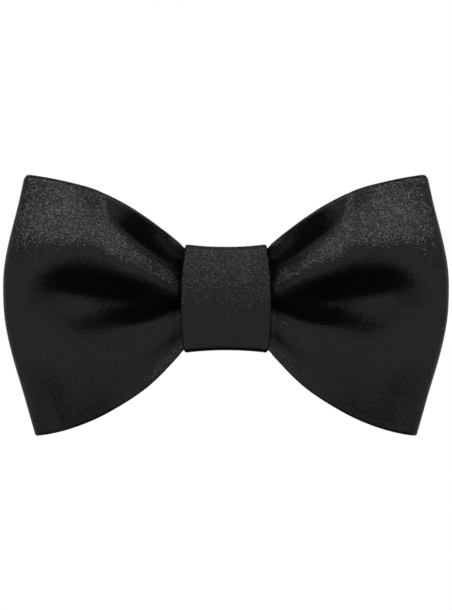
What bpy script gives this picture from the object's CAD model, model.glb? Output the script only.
import math

import bpy
import numpy as np
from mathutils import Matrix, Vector


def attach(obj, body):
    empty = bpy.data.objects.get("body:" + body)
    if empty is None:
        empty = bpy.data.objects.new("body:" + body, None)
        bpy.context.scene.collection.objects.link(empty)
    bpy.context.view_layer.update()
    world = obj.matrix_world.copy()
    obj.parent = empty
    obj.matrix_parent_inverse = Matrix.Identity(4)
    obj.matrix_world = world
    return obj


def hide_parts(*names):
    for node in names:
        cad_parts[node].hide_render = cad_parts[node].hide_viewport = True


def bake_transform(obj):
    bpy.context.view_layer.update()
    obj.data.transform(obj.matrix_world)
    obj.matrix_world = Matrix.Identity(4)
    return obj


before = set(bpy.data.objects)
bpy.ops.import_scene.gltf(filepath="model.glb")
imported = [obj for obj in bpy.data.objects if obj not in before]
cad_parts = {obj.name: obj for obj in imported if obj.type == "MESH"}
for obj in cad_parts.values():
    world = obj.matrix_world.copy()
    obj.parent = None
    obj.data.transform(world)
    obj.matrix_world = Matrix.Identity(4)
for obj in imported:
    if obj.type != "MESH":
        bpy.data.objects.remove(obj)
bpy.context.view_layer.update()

# The looks of a black satin clip-on bow tie. Lengths are in millimetres in the CAD's frame (+X
# along the bow, +Y towards the collar, +Z up), and MM turns them into metres when a mesh is
# made. Only the camera, the lights and the floor, at the end, are given in metres.
MM = 0.001
SIDES = (("right", 1), ("left", -1))  # each side and the sign of its X

# ---- The bow strip -----------------------------------------------------------------------
STRIP_HALF = 0.62  # half of the thickness of a leaf: two layers of satin over interlining
SATIN = 0.3  # one layer of satin
LINING_PLAY = 0.03  # room between the interlining and the satin, on each face
EDGE_TURN = 1.0  # satin beyond the interlining's edge, along the strip's long edges
STRIP_HEIGHT = 70.0  # the strip's height when it is laid flat
KNOT_EDGE = 12.2  # X where the strip comes out of the knot
TIP = 59.4  # X of the route's outermost point: the middle of the leaf's thickness at the fold

# The right wing's outline from the front: the top and bottom edges as (x, z) points, and the
# folded edge as (z, x) points.
TOP_EDGE = [(12.2, 14.4), (16.0, 17.7), (19.6, 20.3), (24.5, 23.5), (29.3, 26.2), (34.2, 28.6),
            (40.6, 30.6), (45.5, 31.8), (50.0, 32.7), (54.6, 33.4)]
BOTTOM_EDGE = [(12.2, -14.9), (16.4, -19.5), (21.3, -24.1), (27.7, -28.5), (34.2, -32.1),
               (40.6, -34.7), (45.5, -36.1), (51.2, -37.1)]
FOLD_EDGE = [(-37.1, 51.4), (-31.0, 53.1), (-24.6, 54.9), (-18.2, 56.8), (-11.7, 58.5),
             (-5.0, 59.7), (1.0, 60.05), (7.0, 59.9), (12.5, 59.1), (19.0, 57.6), (25.4, 56.0),
             (33.4, 54.3)]

# The strip's route from above, as (x, y) points: centre front, front leaf, fold, back leaf,
# centre back.
ROUTE = [(0.0, -7.4), (6.0, -7.4), (12.2, -7.6), (16.0, -9.9), (22.0, -13.8), (30.0, -16.6),
         (38.0, -17.3), (46.0, -16.4), (53.0, -13.8), (57.8, -11.0), (59.4, -8.6),
         (57.6, -6.5), (52.0, -5.0), (44.0, -4.3), (34.0, -3.9), (22.0, -3.7), (12.2, -3.6),
         (6.0, -3.6), (0.15, -3.6)]
# Numbers of the route's points at the knot's edge in front, at the fold's start, outermost, and
# at the knot's edge behind.
KNOT_POINT, FOLD_POINT, TIP_POINT, BACK_KNOT_POINT = 2, 8, 10, 16
# Mesh rows inside the knot in front, on the front leaf, round the fold, on the back leaf, and
# inside the knot behind.
ROW_COUNTS = (9, 84, 25, 36, 7)

# Ridges and valleys of the front leaf, from the top edge to the bottom one. Each line gives, at
# the stations along X, its height and how far it stands in front of the route. The two edges
# give only how far they stand in front.
STATIONS = [12.2, 16.0, 22.0, 28.0, 32.5, 40.0, 46.0, 52.0, 58.0]
TOP_PROUD = [-0.2, 4.8, 6.9, 5.2, 0.5, -0.2, -1.1, -2.2, -1.0]
FOLD_LINES = [
    # the small roll beside the knot, which dies out along the top edge
    ([11.4, 13.2, 17.6, 22.2, 25.6, 28.4, 29.4, 29.2, 28.0],
     [0.9, 3.2, 4.5, 4.0, 1.1, 0.4, -0.6, -1.6, -0.6]),
    # the pleat under it, from the knot's corner up to the top edge
    ([8.4, 8.8, 13.0, 18.2, 22.9, 25.4, 26.0, 26.4, 24.0],
     [-0.9, 0.4, 2.0, 2.4, 1.9, 1.2, 0.3, -1.1, -0.4]),
    # crest of the upper lobe
    ([2.4, 3.6, 6.4, 9.0, 11.2, 13.0, 12.6, 10.8, 8.5],
     [1.6, 2.7, 3.8, 4.6, 4.8, 4.3, 3.4, 2.2, 0.8]),
    # where the upper lobe rolls under
    ([0.6, 1.9, 4.4, 6.4, 8.0, 9.6, 9.2, 8.0, 6.0],
     [1.2, 1.9, 3.0, 3.9, 4.0, 3.5, 2.7, 1.9, 0.7]),
    # the deep crease under the upper lobe
    ([-1.2, -1.5, -1.0, -0.5, 0.2, 0.6, 1.4, 1.0, 0.5],
     [-0.5, -1.3, -2.4, -3.6, -3.6, -3.7, -1.5, 0.1, 0.2]),
    # the tongue between the two creases
    ([-2.2, -2.4, -1.8, -1.7, -2.5, -4.6, -3.6, -3.6, -3.5],
     [-1.5, -2.7, -3.2, -4.0, -4.5, -4.3, -2.4, -0.8, -0.1]),
    # the second crease
    ([-4.1, -5.5, -6.8, -7.8, -8.8, -9.6, -9.4, -8.4, -8.0],
     [-1.9, -3.9, -7.4, -8.4, -7.5, -5.8, -2.9, -0.9, 0.0]),
    # where the lower lobe starts
    ([-5.8, -7.3, -9.3, -11.1, -12.3, -13.2, -13.5, -12.5, -12.0],
     [-1.7, -3.8, -7.6, -8.8, -8.1, -6.2, -2.9, -0.8, 0.1]),
    # the flat of the lower lobe
    ([-7.8, -9.9, -11.9, -13.8, -15.2, -17.0, -18.0, -15.5, -15.0],
     [-1.6, -3.8, -7.6, -8.9, -8.3, -6.4, -2.9, -0.7, 0.1]),
    # where the bottom edge starts to turn back
    ([-11.5, -14.4, -21.0, -23.5, -25.4, -28.0, -28.5, -27.0, -26.0],
     [-2.1, -4.8, -9.0, -10.2, -9.9, -7.9, -4.2, -1.7, -0.5]),
]
BOTTOM_PROUD = [-1.8, -4.5, -9.0, -11.1, -11.3, -9.3, -5.3, -2.4, -0.9]
LINE_GAP = 0.3  # least height between two neighbouring lines
BLUR_ALONG, BLUR_ACROSS = 1.6, 1.25  # smoothing of the relief, in mesh rows and columns

# Shares of the relief, and of the way from the knot (0) to the fold (1).
FOLD_SHARE = 0.6  # how much of the relief is left at the fold
FRONT_FADE = 0.82  # where the front leaf's relief starts to fade to that
BACK_FADE = 0.6  # where the relief that comes round the fold has died away on the back leaf
KNOT_PRESS = 0.3  # how much of the relief is pressed flat inside the knot
PRESS_X = (9.0, 12.2)  # between these X the relief rises out of the knot

KNOT_GATHER = 0.17  # how much of the strip's height is gathered away inside the knot
GATHER_X = (9.5, 12.6)  # between these X the strip opens out of the knot
CORNER_ROUND = 0.8  # how far the wing's top corner is rounded off
CORNER_START = 0.955  # share of the half height where that rounding starts

# The back leaf.
BACK_GATHER = 0.35  # how far a gather stands out beside the knot
BACK_GATHER_END = 0.55  # share of the way from the knot where the gathers have died away
BACK_GATHER_COUNT = 4.5  # gathers across the strip
BACK_GATHER_SHIFT = 0.4  # angle by which they are moved across it, in radians
BACK_INSET = 0.025  # share by which this leaf is less high than the front leaf
BACK_INSET_END = 0.75  # share of the way where it starts to widen to the fold's height


# ---- Curves and grids --------------------------------------------------------------------
def spline(points, at):
    """The natural cubic through the (x, y) points, at each of these x, straight beyond them."""
    x, y = np.array(points, float).T
    h, n = np.diff(x), len(x)
    a, b = np.eye(n), np.zeros(n)
    for i in range(1, n - 1):
        a[i, i - 1: i + 2] = h[i - 1], 2 * (h[i - 1] + h[i]), h[i]
        b[i] = 6 * ((y[i + 1] - y[i]) / h[i] - (y[i] - y[i - 1]) / h[i - 1])
    m = np.linalg.solve(a, b)  # the second derivative at each point
    at = np.asarray(at, float)
    i = np.clip(np.searchsorted(x, at) - 1, 0, n - 2)
    inside = np.clip(at, x[0], x[-1])
    lo, hi = inside - x[i], x[i + 1] - inside
    value = (
        (m[i] * hi**3 + m[i + 1] * lo**3) / (6 * h[i])
        + (y[i] / h[i] - m[i] * h[i] / 6) * hi
        + (y[i + 1] / h[i] - m[i + 1] * h[i] / 6) * lo
    )
    end_slope = [
        (y[1] - y[0]) / h[0] - h[0] * m[1] / 6,
        (y[-1] - y[-2]) / h[-1] + h[-1] * m[-2] / 6,
    ]
    before, after = np.minimum(at - x[0], 0), np.maximum(at - x[-1], 0)
    return value + before * end_slope[0] + after * end_slope[1]


def route_at(points, along):
    """Points of a smooth curve at these distances along its chords, and the corners' distances."""
    p = np.array(points, float)
    chord = np.concatenate([[0], np.cumsum(np.linalg.norm(np.diff(p, axis=0), axis=1))])
    places = [spline(list(zip(chord, p[:, k])), along) for k in range(p.shape[1])]
    return np.stack(places, -1), chord


def between_lines(z, line_z, line_value):
    """Values at heights z, smoothly through the lines' values, with no overshoot.

    The lines lie along axis 0, the lowest first.
    """
    # h is the height from line to line, and d the steepness there. A line where d changes its
    # sign is a crest or a valley, so the slope on it is 0.
    h = np.diff(line_z, axis=0)
    d = np.diff(line_value, axis=0) / h
    w1, w2 = 2 * h[1:] + h[:-1], h[1:] + 2 * h[:-1]
    same = d[1:] * d[:-1] > 0
    safe = np.where(same, d[:-1] * w2 + d[1:] * w1, 1.0)
    middle = np.where(same, (w1 + w2) * d[:-1] * d[1:] / safe, 0.0)
    slope = np.concatenate([d[:1], middle, d[-1:]])
    i = np.clip((z[None] > line_z[1:-1]).sum(0), 0, len(h) - 1)

    def pick(values):
        return np.take_along_axis(values, i[None], 0)[0]

    step = pick(h)
    t = np.clip((z - pick(line_z[:-1])) / step, 0, 1)
    a, b = pick(line_value[:-1]), pick(line_value[1:])
    ma, mb = pick(slope[:-1]) * step, pick(slope[1:]) * step
    return a + t * (ma + t * (3 * (b - a) - 2 * ma - mb + t * (2 * (a - b) + ma + mb)))


def blurred(values, sigma, axis):
    """Values smoothed along one axis, with the ends held."""
    reach = int(math.ceil(3 * sigma))
    kernel = np.exp(-0.5 * (np.arange(-reach, reach + 1) / sigma) ** 2)
    kernel /= kernel.sum()
    margins = [(reach, reach) if k == axis else (0, 0) for k in range(2)]
    padded = np.pad(values, margins, mode="edge")
    return np.apply_along_axis(lambda line: np.convolve(line, kernel, "valid"), axis, padded)


def smooth_step(value, start, end):
    """0 up to start, 1 from end on, and a smooth rise between them."""
    t = np.clip((value - start) / (end - start), 0, 1)
    return t * t * (3 - 2 * t)


EDGE_ANGLES = [0, 30, 60, 78, 90]  # degrees round a strip's rounded edge


def across(count, edge, height):
    """Places across a strip from -1 to 1, and the share of the strip's thickness at each.

    The places lie closer together over the rounded edges, which are as wide as edge.
    """
    turn = edge / (height / 2)
    corner = 1 - turn + turn * np.sin(np.radians(EDGE_ANGLES))
    half = np.concatenate([np.linspace(0, 1 - turn, count)[:-1], corner])
    v = np.concatenate([-half[:0:-1], half])
    t = np.clip((np.abs(v) - (1 - turn)) / turn, 0, 1)
    return v, np.sqrt(np.clip(1 - t * t, 0, 1))


def normals(grid):
    """The unit normal at each point of a grid."""
    along = np.gradient(grid, axis=0)
    over = np.gradient(grid, axis=1)
    n = np.cross(along, over)
    return n / np.maximum(np.linalg.norm(n, axis=2, keepdims=True), 1e-9)


def tube_rings(grid, half, share):
    """Closed rings of a flattened tube round a grid: each row's front side, then its back side."""
    n = normals(grid) * (half * share)[None, :, None]
    return np.concatenate([grid + n, (grid - n)[:, -2:0:-1]], axis=1)


def ring_faces(rows, size, start=0, flip=False):
    """Quads between neighbouring closed rings of points."""
    faces = []
    for r in range(rows - 1):
        for k in range(size):
            a, b = start + r * size + k, start + r * size + (k + 1) % size
            faces.append((a, a + size, b + size, b) if flip else (a, b, b + size, a + size))
    return faces


def cap_faces(size, start, flip):
    """Closes one ring of a flattened tube: each front point joins the back point behind it."""
    m = size // 2 + 1
    back = [0] + [size - k for k in range(1, m - 1)] + [m - 1]
    faces = []
    for k in range(m - 1):
        face = [start + k, start + k + 1, start + back[k + 1], start + back[k]]
        face = list(dict.fromkeys(face))
        faces.append(face[::-1] if flip else face)
    return faces


def mouth_faces(size, outer, inner, flip):
    """Quads from an outer end ring to the inner one, round a tube's open mouth."""
    faces = []
    for k in range(size):
        q = (k + 1) % size
        face = (outer + k, inner + k, inner + q, outer + q)
        faces.append(face[::-1] if flip else face)
    return faces


def mesh_object(name, points, faces, uv=None):
    """A smooth mesh from points in millimetres. Its UV map is the place on the flat cloth."""
    mesh = bpy.data.meshes.new(name)
    mesh.from_pydata((np.asarray(points) * MM).tolist(), [], faces)
    mesh.polygons.foreach_set("use_smooth", [True] * len(mesh.polygons))
    if uv is not None:
        layer = mesh.uv_layers.new(name="Cloth")
        loops = np.zeros(len(mesh.loops), np.int32)
        mesh.loops.foreach_get("vertex_index", loops)
        layer.data.foreach_set("uv", (np.asarray(uv)[loops] * MM).ravel())
    mesh.validate()
    mesh.update()
    obj = bpy.data.objects.new(name, mesh)
    bpy.context.scene.collection.objects.link(obj)
    return obj


def cloth_uv(grid, v, height):
    """(distance along the strip, distance across it) for each ring point of a flattened tube."""
    middle = grid[:, grid.shape[1] // 2]
    along = np.concatenate([[0], np.cumsum(np.linalg.norm(np.diff(middle, axis=0), axis=1))])
    over = np.concatenate([v, v[-2:0:-1]]) * height / 2
    return np.stack(np.broadcast_arrays(along[:, None], over[None]), -1).reshape(-1, 2)


def satin_tube(name, middle, count, height, half, step):
    """A sewn flat tube of satin round middle(v), hollow inside, and the interlining in it.

    The inside has a row for every step-th row of the outside.
    """
    v, share = across(count, half, height)
    grid = middle(v)
    outer = tube_rings(grid, half, share)
    rows = np.unique(np.append(np.arange(0, len(grid), step), len(grid) - 1))
    inner_v = v * (1 - EDGE_TURN / (height / 2))
    inner_grid = middle(inner_v)[rows]
    inner = tube_rings(inner_grid, half - SATIN, share)
    size = outer.shape[1]
    first_inner = len(grid) * size
    last_outer, last_inner = first_inner - size, first_inner + (len(rows) - 1) * size
    faces = ring_faces(len(grid), size) + ring_faces(len(rows), size, first_inner, flip=True)
    faces += mouth_faces(size, 0, first_inner, flip=False)
    faces += mouth_faces(size, last_outer, last_inner, flip=True)
    points = np.concatenate([outer.reshape(-1, 3), inner.reshape(-1, 3)])
    uv = np.concatenate([cloth_uv(grid, v, height), cloth_uv(inner_grid, inner_v, height)])
    shell = mesh_object(name + "_satin_cloth", points, faces, uv)

    core_grid, core_v = inner_grid[:, ::2], inner_v[::2]
    core = tube_rings(core_grid, half - SATIN - LINING_PLAY, share[::2])
    size = core.shape[1]
    faces = ring_faces(len(rows), size)
    faces += cap_faces(size, 0, flip=False)
    faces += cap_faces(size, (len(rows) - 1) * size, flip=True)
    uv = cloth_uv(core_grid, core_v, height)
    lining = mesh_object(name + "_interlining_cloth", core.reshape(-1, 3), faces, uv)
    return shell, lining


# ---- The bow's shape ---------------------------------------------------------------------
def strip_stations():
    """Distances along the route's chords: close together in front, wider apart behind."""
    _, chord = route_at(ROUTE, [0])
    fold_start, tip = chord[FOLD_POINT], chord[TIP_POINT]
    knot_front, knot_back = chord[KNOT_POINT], chord[BACK_KNOT_POINT]
    stops = [0, knot_front, fold_start, 2 * tip - fold_start, knot_back, chord[-1]]
    runs = [np.linspace(a, b, count) for a, b, count in zip(stops, stops[1:], ROW_COUNTS)]
    return np.concatenate([run[:-1] for run in runs[:-1]] + runs[-1:])


def fold_relief(line_x, z, top, bottom):
    """How far the folds stand in front of the route at heights z, smooth between the lines."""
    shape = (len(FOLD_LINES) + 2,) + z.shape
    line_z, proud = np.zeros(shape), np.zeros(shape)
    line_z[-1], line_z[0] = top, bottom
    proud[-1] = spline(list(zip(STATIONS, TOP_PROUD)), line_x)
    proud[0] = spline(list(zip(STATIONS, BOTTOM_PROUD)), line_x)
    for k, (heights, values) in enumerate(FOLD_LINES):
        line_z[-2 - k] = spline(list(zip(STATIONS, heights)), line_x)
        proud[-2 - k] = spline(list(zip(STATIONS, values)), line_x)
    # Near the fold the lines crowd against the strip's edges, so they are kept in order.
    for k in range(1, len(line_z) - 1):
        line_z[k] = np.maximum(line_z[k], line_z[k - 1] + LINE_GAP)
    for k in range(len(line_z) - 2, 0, -1):
        line_z[k] = np.minimum(line_z[k], line_z[k + 1] - LINE_GAP)
    return between_lines(z, line_z, proud)


def right_half(v):
    """Middle of the strip's thickness, from the centre front round the right fold to the back."""
    along = strip_stations()
    route, chord = route_at(ROUTE, along)
    x_route, y_route = route.T
    front = (along <= chord[TIP_POINT])[:, None]
    from_knot = np.clip((x_route - KNOT_EDGE) / (TIP - KNOT_EDGE), 0, 1)[:, None]
    height_share = (v[None] + 1) / 2
    (top_x, top_z), (bottom_x, bottom_z) = TOP_EDGE[-1], BOTTOM_EDGE[-1]
    top = spline(TOP_EDGE, KNOT_EDGE + from_knot * (top_x - STRIP_HALF - KNOT_EDGE))
    bottom = spline(BOTTOM_EDGE, KNOT_EDGE + from_knot * (bottom_x - STRIP_HALF - KNOT_EDGE))
    fold_z = bottom_z + (top_z - bottom_z) * height_share
    rounding = CORNER_ROUND * smooth_step(v, CORNER_START, 1.0) ** 2
    reach = spline(FOLD_EDGE, fold_z) - STRIP_HALF - rounding
    beyond = np.maximum(x_route[:, None] - KNOT_EDGE, 0)
    x = np.minimum(x_route[:, None], KNOT_EDGE) + beyond * (reach - KNOT_EDGE) / (TIP - KNOT_EDGE)
    # Inside the knot the strip is gathered a little narrower than where it comes out.
    gathered = 1 - KNOT_GATHER * (1 - smooth_step(x_route, *GATHER_X))[:, None]
    z = (bottom + (top - bottom) * height_share) * gathered

    line_x = np.clip(np.where(front, x, reach), STATIONS[0], STATIONS[-1])
    relief = fold_relief(line_x, z / gathered, top, bottom)
    relief *= (1 - KNOT_PRESS * (1 - smooth_step(x_route, *PRESS_X)))[:, None]
    front_share = 1 - (1 - FOLD_SHARE) * smooth_step(from_knot, FRONT_FADE, 1.0)
    back_share = FOLD_SHARE * smooth_step(from_knot, BACK_FADE, 1.0)
    relief *= np.where(front, front_share, back_share)
    relief = blurred(blurred(relief, BLUR_ALONG, 0), BLUR_ACROSS, 1)

    # The back leaf lies in a few low gathers that die away from the knot.
    wave = np.cos(v * BACK_GATHER_COUNT * np.pi + BACK_GATHER_SHIFT)[None]
    gathers = BACK_GATHER * wave * (1 - smooth_step(from_knot, 0.0, BACK_GATHER_END))
    y = y_route[:, None] - relief + np.where(front, 0, gathers)
    # The back leaf's edges sit just inside the front leaf's.
    inset = np.where(front, 0.0, BACK_INSET) * (1 - smooth_step(from_knot, BACK_INSET_END, 1.0))
    return np.stack([x, y, z * (1 - inset)], -1)


def whole_strip(v):
    """The right half and its mirror image, from centre back to centre back."""
    right = right_half(v)
    left = right[::-1] * np.array([-1, 1, 1])
    return np.concatenate([left, right[1:]])


bow_satin, bow_lining = satin_tube(
    "bow", whole_strip, count=56, height=STRIP_HEIGHT, half=STRIP_HALF, step=3
)

# ---- The knot wrap -----------------------------------------------------------------------
WRAP_HALF = 0.62  # half of its thickness, as on the strip
WRAP_WIDTH = 24.4
WRAP_TOP = 14.05  # height of its top above the middle
WRAP_FRONT = -11.4  # Y of its front face before it swells; its back is at 0
WRAP_CORNER = 1.3  # outer radius of its corners
SEAM = -8.0  # height of the sewn seam on the back
SEAM_GAP = 0.3
SAME_POINT = 0.02  # points nearer than this are one point
# Points below the seam, round a corner, up the front, and down the back to the seam.
BELOW_POINTS, CORNER_POINTS, FRONT_POINTS, BACK_POINTS = 6, 9, 34, 24

# How its shape differs from a plain band. Places up and across it run from -1 to 1.
END_HEIGHT = 14.0  # height that counts as 1
FACING_DEPTHS = (5.0, 11.0)  # between these the front face's shape comes in
TAPER, TAPER_POWER = 1.3, 2.2  # each side narrows towards its top and foot
FOOT_SPREAD = 0.25  # but it narrows less at its foot
SAG, SAG_LEVEL = 0.75, 0.15  # its top and foot stand out at the sides, not in the middle
SWELL = 0.35  # its front stands further out at the middle
FOLD_DEPTH, FOLD_PLACE, FOLD_WIDTH = 0.16, 0.42, 0.12  # two soft lengthwise folds in front
FOLD_ENDS = (0.15, 0.9)  # the folds deepen between these heights
LEAN, LEAN_FOOT, LEAN_POWER = 0.0185, -4.0, 1.6  # it leans back above the height LEAN_FOOT


def wrap_route():
    """(y, z) points of the middle of the wrap's thickness.

    They run from the seam down the back, up the front and down the back to the seam again.
    """
    middle = WRAP_FRONT / 2
    depth, height = -WRAP_FRONT / 2 - WRAP_HALF, WRAP_TOP - WRAP_HALF
    corner = WRAP_CORNER - WRAP_HALF
    back, front, flat_end = middle + depth, middle - depth, height - corner

    def rounded(side, end, start, stop):
        """One corner: side is 1 at the back and -1 in front, end is 1 at the top and -1 below."""
        y, z = middle + side * (depth - corner), end * flat_end
        angles = np.radians(np.linspace(start, stop, CORNER_POINTS))
        return [(y + corner * math.cos(angle), z + corner * math.sin(angle)) for angle in angles]

    below = np.linspace(SEAM - SEAM_GAP / 2, -flat_end, BELOW_POINTS)
    up_front = np.linspace(-flat_end, flat_end, FRONT_POINTS)[1:-1]
    down_back = np.linspace(flat_end, SEAM + SEAM_GAP / 2, BACK_POINTS)[1:]
    points = [(back, z) for z in below] + rounded(1, -1, 0, -90) + rounded(-1, -1, -90, -180)
    points += [(front, z) for z in up_front] + rounded(-1, 1, 180, 90) + rounded(1, 1, 90, 0)
    points += [(back, z) for z in down_back]
    points = np.array(points)
    steps = np.linalg.norm(np.diff(points, axis=0), axis=1)
    return points[np.append(True, steps > SAME_POINT)]


def knot_middle(w):
    """Middle of the wrap's thickness: rows round the waist, columns across the wrap."""
    route = wrap_route()
    y, z = route[:, :1], route[:, 1:]
    facing = smooth_step(-y, *FACING_DEPTHS)  # 1 on the front face, 0 on the back
    up = np.clip(z / END_HEIGHT, -1, 1)
    taper = TAPER * np.abs(up) ** TAPER_POWER
    half_width = WRAP_WIDTH / 2 - taper + FOOT_SPREAD * np.clip(-up, 0, 1) ** 2
    x = w[None] * half_width
    # The top and foot are pulled in at the middle, where the wrap is tightest.
    sag = SAG * (np.abs(w[None]) ** 2.0 - SAG_LEVEL)
    near_end = np.clip(np.abs(up) * 1.6 - 0.6, 0, 1)  # 1 at the top and foot, 0 in between
    z = z + np.sign(z) * sag * near_end
    # The front face swells a little, with two soft lengthwise folds near its ends.
    swell = SWELL * (1 - w[None] ** 2) * (1 - up**2)
    fold = np.exp(-((np.abs(w[None]) - FOLD_PLACE) / FOLD_WIDTH) ** 2)
    folds = -FOLD_DEPTH * fold * smooth_step(np.abs(up), *FOLD_ENDS)
    # Its upper part leans back towards the top edge.
    lean = LEAN * np.clip(z - LEAN_FOOT, 0, None) ** LEAN_POWER
    y = y - facing * (swell + folds - lean)
    return np.stack(np.broadcast_arrays(x, y, z), -1)


knot_satin, knot_lining = satin_tube(
    "knot", knot_middle, count=26, height=WRAP_WIDTH, half=WRAP_HALF, step=1
)


# ---- Threads -----------------------------------------------------------------------------
STITCHES = np.linspace(-9.6, 9.6, 13)  # X of each stitch that closes the knot
STITCH_RADIUS = 0.17
STITCH_LEAN = 0.45  # how far a stitch leans along the seam, each way
STITCH_REACH = 1.15  # how far it reaches above and below the seam
STITCH_ENDS = -0.55  # Y of its ends, inside the wrap
STITCH_HEIGHT = 0.62  # how far its middle stands behind them
STITCH_POINTS = 13


def thread_mesh(name, routes, radius, sides=8):
    """Round threads, closed at their ends, along routes of points."""
    turn = np.linspace(0, 2 * math.pi, sides, endpoint=False)[:, None]
    no_thread = np.array([1.0, 0.3, 0.2])  # a direction that no thread runs in
    points, faces = [], []
    for route in routes:
        along = np.gradient(route, axis=0)
        along /= np.linalg.norm(along, axis=1, keepdims=True)
        aside = np.cross(along, no_thread)
        aside /= np.linalg.norm(aside, axis=1, keepdims=True)
        other = np.cross(along, aside)
        ring = aside[:, None] * np.cos(turn) + other[:, None] * np.sin(turn)
        start = sum(len(p) for p in points)
        points.append((route[:, None] + radius * ring).reshape(-1, 3))
        faces += ring_faces(len(route), sides, start)
        faces.append(tuple(start + k for k in range(sides))[::-1])
        last = start + (len(route) - 1) * sides
        faces.append(tuple(last + k for k in range(sides)))
    return mesh_object(name, np.concatenate(points), faces)


def closing_stitch(x):
    """One whip stitch over the knot's seam, leaning a little along it."""
    t = np.linspace(-1, 1, STITCH_POINTS)
    y = STITCH_ENDS + STITCH_HEIGHT * np.sqrt(np.clip(1 - t**2, 0, 1))
    return np.stack([x + STITCH_LEAN * t, y, SEAM + STITCH_REACH * t], -1)


stitch_routes = [closing_stitch(x) for x in STITCHES]
knot_stitches = thread_mesh("knot_stitch_thread", stitch_routes, STITCH_RADIUS)


# ---- Springs -----------------------------------------------------------------------------
SPRING_HALF = 0.15  # half of the strip's thickness
SPRING_WIDTH = 5.2
SPRING_ROWS = 61
# The right spring from above, as (x, y) points.
SPRING_LINE = [(14.6, -1.2), (16.6, -0.5), (18.9, 0.3), (20.6, 0.85), (21.35, 1.35), (21.5, 2.1),
               (21.1, 2.85), (20.2, 3.28), (18.4, 3.75), (16.6, 4.23), (14.9, 4.66)]


def spring_mesh(name, sign):
    """The hairpin strip from its leg on the bar, round the pin, to its leg under the thumb tab."""
    _, chord = route_at(SPRING_LINE, [0])
    line, _ = route_at(SPRING_LINE, np.linspace(0, chord[-1], SPRING_ROWS))
    v, share = across(6, SPRING_HALF, SPRING_WIDTH)
    x, y, z = np.broadcast_arrays(sign * line[:, :1], line[:, 1:], v * (SPRING_WIDTH / 2))
    grid = np.stack([x, y, z], -1)
    rings = tube_rings(grid, SPRING_HALF, share)
    size = rings.shape[1]
    flip = sign < 0
    faces = ring_faces(len(line), size, flip=flip)
    faces += cap_faces(size, 0, flip=flip)
    faces += cap_faces(size, (len(line) - 1) * size, flip=not flip)
    return mesh_object(name, rings.reshape(-1, 3), faces, cloth_uv(grid, v, SPRING_WIDTH))


springs = {side: spring_mesh(f"{side}_hairpin_spring", sign) for side, sign in SIDES}


# ---- Materials ---------------------------------------------------------------------------
class Nodes:
    """Adds and links shader nodes in one material."""

    def __init__(self, name):
        self.material = bpy.data.materials.new(name)
        self.material.use_nodes = True
        self.tree = self.material.node_tree
        self.shader = self.tree.nodes["Principled BSDF"]

    def add(self, kind, inputs=(), **settings):
        """A new node with these settings, whose inputs get these values or links."""
        node = self.tree.nodes.new("ShaderNode" + kind)
        for key, value in settings.items():
            setattr(node, key, value)
        for key, value in dict(inputs).items():
            self.feed(node, key, value)
        return node

    def feed(self, node, key, value):
        """Links a socket to an input, or sets the input to a value."""
        if isinstance(value, bpy.types.NodeSocket):
            self.tree.links.new(value, node.inputs[key])
        else:
            node.inputs[key].default_value = value

    def cloth_place(self):
        """The place on the flat cloth, in millimetres."""
        metres = self.add("UVMap", uv_map="Cloth").outputs[0]
        return self.stretch(metres, (1000, 1000, 1000))

    def object_place(self):
        """The place in the object's own frame, in metres."""
        return self.add("TexCoord").outputs["Object"]

    def stretch(self, place, scale):
        return self.add("Mapping", {"Vector": place, "Scale": scale}).outputs[0]

    def noise(self, place, scale, **more):
        """Noise from 0 to 1."""
        inputs = {"Vector": place, "Scale": scale, **more}
        return self.add("TexNoise", inputs).outputs[0]

    def wave(self, place, scale, direction, **more):
        """Sine bands from 0 to 1, bent by a Distortion where one is given."""
        inputs = {"Vector": place, "Scale": scale}
        inputs.update({key.replace("_", " "): value for key, value in more.items()})
        return self.add("TexWave", inputs, bands_direction=direction).outputs[1]

    def bump(self, height, strength, distance, **more):
        """A normal tilted by a height. Distance is in metres."""
        inputs = {"Strength": strength, "Distance": distance, "Height": height, **more}
        return self.add("Bump", inputs).outputs[0]

    def math(self, operation, a, b=0.0):
        return self.add("Math", {0: a, 1: b}, operation=operation).outputs[0]

    def vector(self, operation, a, inputs=()):
        return self.add("VectorMath", {0: a, **dict(inputs)}, operation=operation).outputs[0]

    def ramp(self, value, low, high, to_low, to_high):
        """The value carried from the range low to high to another range."""
        return self.add("MapRange", {0: value, 1: low, 2: high, 3: to_low, 4: to_high}).outputs[0]

    def mix(self, share, a, b):
        """Colour a where share is 0, and b where it is 1."""
        # Inputs 0, 6 and 7 and output 2 are the ones that this node uses for colours.
        return self.add("Mix", {0: share, 6: a, 7: b}, data_type="RGBA").outputs[2]

    def set(self, **values):
        """Sets or links the shader's sockets and returns the material."""
        for key, value in values.items():
            self.feed(self.shader, key.replace("_", " "), value)
        return self.material


THREADS_PER_MM = (2.6, 3.3, 1.0)  # glinting threads along and across the strip
THREAD_TILT = 0.36  # a thread's normal leans up to half of this each way, about 10 degrees


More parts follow.
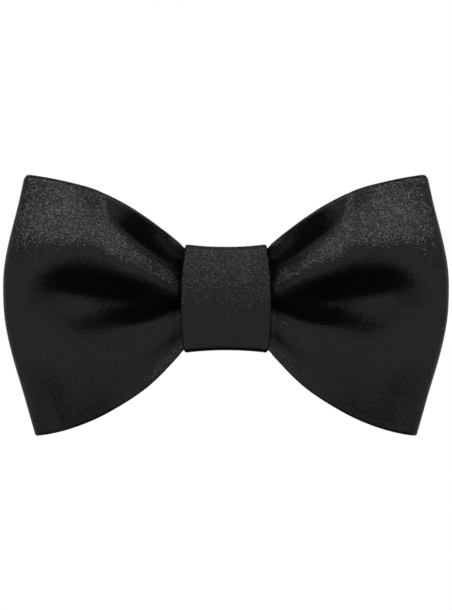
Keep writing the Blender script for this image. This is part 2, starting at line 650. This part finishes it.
def satin_material(name):
    """Black satin: fine lines across the strip, a twill, slubs, and threads that glint singly."""
    n = Nodes(name)
    place = n.cloth_place()
    warp = n.wave(place, 0.62, "X", Distortion=1.1, Detail=2.0, Detail_Scale=2.2)
    twill = n.wave(place, 0.5, "DIAGONAL", Distortion=0.8, Detail=1.0, Detail_Scale=3.0)
    cells = n.add("TexVoronoi", {"Vector": n.stretch(place, THREADS_PER_MM), "Scale": 1.0})
    thread = cells.outputs["Color"]
    slub = n.noise(place, 0.5, Detail=4.0, Roughness=0.6)
    cloud = n.noise(place, 0.06, Detail=2.0)

    lines = n.math("ADD", n.math("MULTIPLY", warp, 0.7), n.math("MULTIPLY", twill, 0.3))
    fine = n.bump(lines, 0.28, 0.00006)
    surface = n.bump(slub, 0.25, 0.0003, Normal=fine)
    # Single threads lie a few degrees off the rest and catch the light one by one.
    lean = n.vector("SUBTRACT", thread, {1: (0.5, 0.5, 0.5)})
    tilt = n.vector("SCALE", lean, {"Scale": THREAD_TILT})
    thread_normal = n.vector("NORMALIZE", n.vector("ADD", surface, {1: tilt}))

    bright = n.math("POWER", n.add("SeparateColor", {0: thread}).outputs[0], 3.0)
    shade = n.math("ADD", n.math("MULTIPLY", lines, 0.35), n.math("MULTIPLY", bright, 0.5))
    shade = n.math("MULTIPLY", shade, n.ramp(cloud, 0.3, 0.7, 0.7, 1.1))
    colour = n.mix(shade, (0.0025, 0.0025, 0.003, 1), (0.015, 0.015, 0.018, 1))
    return n.set(
        Base_Color=colour, Roughness=n.ramp(slub, 0.3, 0.7, 0.4, 0.44), Normal=surface,
        Specular_IOR_Level=0.36, Anisotropic=0.2, Coat_Weight=0.4, Coat_Roughness=0.09,
        Coat_IOR=1.5, Coat_Normal=thread_normal,
    )


def lining_material(name):
    """Pale woven interlining: threads over and under each other, uneven in thickness."""
    n = Nodes(name)
    place = n.cloth_place()
    weave = n.math("MULTIPLY", n.wave(place, 0.5, "X"), n.wave(place, 0.5, "Y"))
    slub = n.noise(place, 0.8, Detail=3.0)
    shade = n.math("MULTIPLY", weave, slub)
    colour = n.mix(shade, (0.42, 0.39, 0.33, 1), (0.7, 0.67, 0.6, 1))
    rough = n.ramp(slub, 0.3, 0.7, 0.8, 0.95)
    surface = n.bump(weave, 0.5, 0.0002)
    return n.set(Base_Color=colour, Roughness=rough, Normal=surface, Sheen_Weight=0.2)


def thread_material(name):
    """Black sewing thread: a close twist under a little fuzz."""
    n = Nodes(name)
    place = n.object_place()
    twist = n.wave(place, 900.0, "DIAGONAL", Distortion=1.5, Detail=1.0)
    fuzz = n.noise(place, 3000.0, Detail=3.0)
    colour = n.mix(twist, (0.008, 0.008, 0.009, 1), (0.045, 0.045, 0.05, 1))
    rough = n.ramp(fuzz, 0.3, 0.7, 0.45, 0.7)
    return n.set(Base_Color=colour, Roughness=rough, Normal=n.bump(twist, 0.5, 0.00008))


BRUSHING = (300.0, 5200.0, 5200.0)  # the brush's scratches run along X


def metal_material(name, pale, deep, rough_low, rough_high, brushed):
    """Pressed steel: fine brushing, tiny dents, and dull spots where it is rubbed."""
    n = Nodes(name)
    place = n.object_place()
    grain = n.noise(n.stretch(place, BRUSHING), 1.0, Detail=4.0, Roughness=0.65)
    dents = n.noise(place, 700.0, Detail=3.0)
    rubbed = n.ramp(n.noise(place, 160.0, Detail=5.0, Roughness=0.6), 0.42, 0.62, 0.0, 1.0)
    height = n.math("ADD", n.math("MULTIPLY", grain, brushed), n.math("MULTIPLY", dents, 0.25))
    duller = n.math("MULTIPLY", rubbed, 0.05)
    rough = n.math("ADD", n.ramp(grain, 0.3, 0.7, rough_low, rough_high), duller)
    return n.set(
        Base_Color=n.mix(rubbed, pale, deep), Metallic=1.0, Roughness=rough,
        Normal=n.bump(height, 0.1, 0.00006), Anisotropic=0.3,
    )


def rubber_material(name):
    """Black rubber: a fine matt grain, with paler dust on it."""
    n = Nodes(name)
    place = n.object_place()
    grain = n.noise(place, 2600.0, Detail=4.0, Roughness=0.7)
    dust = n.ramp(n.noise(place, 260.0, Detail=4.0), 0.45, 0.75, 0.0, 1.0)
    colour = n.mix(dust, (0.022, 0.022, 0.024, 1), (0.06, 0.058, 0.056, 1))
    rough = n.ramp(grain, 0.3, 0.7, 0.62, 0.82)
    return n.set(Base_Color=colour, Roughness=rough, Normal=n.bump(grain, 0.35, 0.00008))


SATIN_CLOTH = satin_material("black_satin")
LINING = lining_material("woven_interlining")
THREAD = thread_material("sewing_thread")
NICKEL = metal_material(
    "nickel_plate", pale=(0.76, 0.75, 0.73, 1), deep=(0.66, 0.64, 0.61, 1),
    rough_low=0.2, rough_high=0.28, brushed=0.6,
)
SPRING_STEEL = metal_material(
    "spring_steel", pale=(0.42, 0.42, 0.44, 1), deep=(0.3, 0.29, 0.29, 1),
    rough_low=0.24, rough_high=0.38, brushed=1.0,
)
RUBBER = rubber_material("grip_rubber")


def dress(obj, material):
    """Gives an object this material and no other."""
    obj.data.materials.clear()
    obj.data.materials.append(material)


# Each piece that rides on the bow: its slot, its material and the CAD node it stands for.
made = [
    (bow_satin, "satin", SATIN_CLOTH, "bow_satin"),
    (bow_lining, "interlining", LINING, "bow_interlining"),
    (knot_satin, "satin", SATIN_CLOTH, "knot_satin"),
    (knot_lining, "interlining", LINING, "knot_interlining"),
    (knot_stitches, "thread", THREAD, "knot_stitches"),
]
for obj, slot, material, node in made:
    dress(obj, material)
    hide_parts(node)
    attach(obj, "bow")

for side, sign in SIDES:
    spring = springs[side]
    dress(spring, SPRING_STEEL)
    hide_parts(f"{side}_spring")
    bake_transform(spring)

# The CAD nodes that are shown as they are.
node_materials = {
    "clip_bar": NICKEL, "right_pivot_pin": NICKEL, "left_pivot_pin": NICKEL,
    "right_lever": NICKEL, "left_lever": NICKEL, "right_grip_pad": RUBBER,
    "left_grip_pad": RUBBER, "gather_thread": THREAD, "strip_end_stitches": THREAD,
}
for node, material in node_materials.items():
    dress(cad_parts[node], material)


# ---- Camera, light and floor, in metres --------------------------------------------------
VIEW_HEIGHT = 0.1641  # what the picture's height takes in, at the aim
VIEW_DISTANCE = 1.2
AIM = Vector((0, -0.010, -0.00175))  # the picture's centre, in the bow's front
SENSOR = 36  # the sensor along the picture's longer side, its height, in millimetres

camera_data = bpy.data.cameras.new("camera")
camera_data.sensor_width = SENSOR
camera_data.lens = SENSOR * VIEW_DISTANCE / VIEW_HEIGHT
camera = bpy.data.objects.new("camera", camera_data)
camera.location = AIM + Vector((0, -VIEW_DISTANCE, 0))
camera.rotation_euler = (math.pi / 2, 0, 0)
bpy.context.scene.collection.objects.link(camera)
bpy.context.scene.camera = camera

LIGHT_COLOUR = (0.95, 0.96, 1.0)


def softbox(name, azimuth, elevation, distance, width, height, power):
    """A soft light that faces the bow. Azimuth 0 is in front and 90 to the viewer's right."""
    light = bpy.data.lights.new(name, "AREA")
    light.shape = "RECTANGLE"
    light.size = width
    light.size_y = height
    light.energy = power
    light.color = LIGHT_COLOUR
    obj = bpy.data.objects.new(name, light)
    a, e = math.radians(azimuth), math.radians(elevation)
    away = Vector((math.sin(a) * math.cos(e), -math.cos(a) * math.cos(e), math.sin(e)))
    obj.location = away * distance
    obj.rotation_mode = "QUATERNION"
    obj.rotation_quaternion = away.to_track_quat("Z", "Y")
    bpy.context.scene.collection.objects.link(obj)


# In front, three narrow strips of light above, under which the threads glint, and three broad
# panels low down for the sheen. Behind, three panels and one strip light the back.
KEY = dict(elevation=34, distance=1.6, width=2.0, height=0.24, power=5.7)
PANEL = dict(elevation=-10, distance=1.8, width=2.2, height=1.6, power=4.3)
OVERHEAD = dict(elevation=80, distance=1.5, width=1.6, height=1.0, power=3.0)
BACK_PANEL = dict(elevation=-14, distance=1.8, width=2.1, height=2.5, power=7.2)
BACK_KEY = dict(elevation=38, distance=1.6, width=1.75, height=0.3, power=4.0)
for side, azimuth in (("left", -64), ("middle", 0), ("right", 64)):
    softbox(f"key_{side}", azimuth, **KEY)
    softbox(f"panel_{side}", azimuth, **PANEL)
softbox("overhead", 0, **OVERHEAD)
for side, azimuth in (("left", -140), ("middle", 180), ("right", 140)):
    softbox(f"back_{side}", azimuth, **BACK_PANEL)
softbox("back_key", 180, **BACK_KEY)

FLOOR_RADIUS = 3.0
FLOOR_SIDES = 96
FLOOR_Z = -0.5
FLOOR_BRIGHTNESS = 0.86
turns = [2 * math.pi * k / FLOOR_SIDES for k in range(FLOOR_SIDES)]
rim = [(FLOOR_RADIUS * math.cos(turn), FLOOR_RADIUS * math.sin(turn), 0) for turn in turns]
floor_mesh = bpy.data.meshes.new("floor")
floor_mesh.from_pydata(rim, [], [range(FLOOR_SIDES)])
floor = bpy.data.objects.new("floor", floor_mesh)
floor.location = (0, 0, FLOOR_Z)
bpy.context.scene.collection.objects.link(floor)
white, black = (1, 1, 1, 1), (0, 0, 0, 1)
paint = Nodes("pale_floor").set(
    Base_Color=black, Specular_IOR_Level=0.0, Emission_Color=white,
    Emission_Strength=FLOOR_BRIGHTNESS,
)
floor_mesh.materials.append(paint)
# The floor lies far below. The bow doesn't reflect it or take light from it, and it blocks none
# of the low panels' light.
floor.visible_glossy = floor.visible_diffuse = floor.visible_shadow = False

world = bpy.data.worlds.new("studio")
bpy.context.scene.world = world
world.use_nodes = True
world.node_tree.nodes["Background"].inputs[0].default_value = white
world.cycles_visibility.diffuse = world.cycles_visibility.glossy = False
bpy.context.scene.view_settings.view_transform = "Standard"
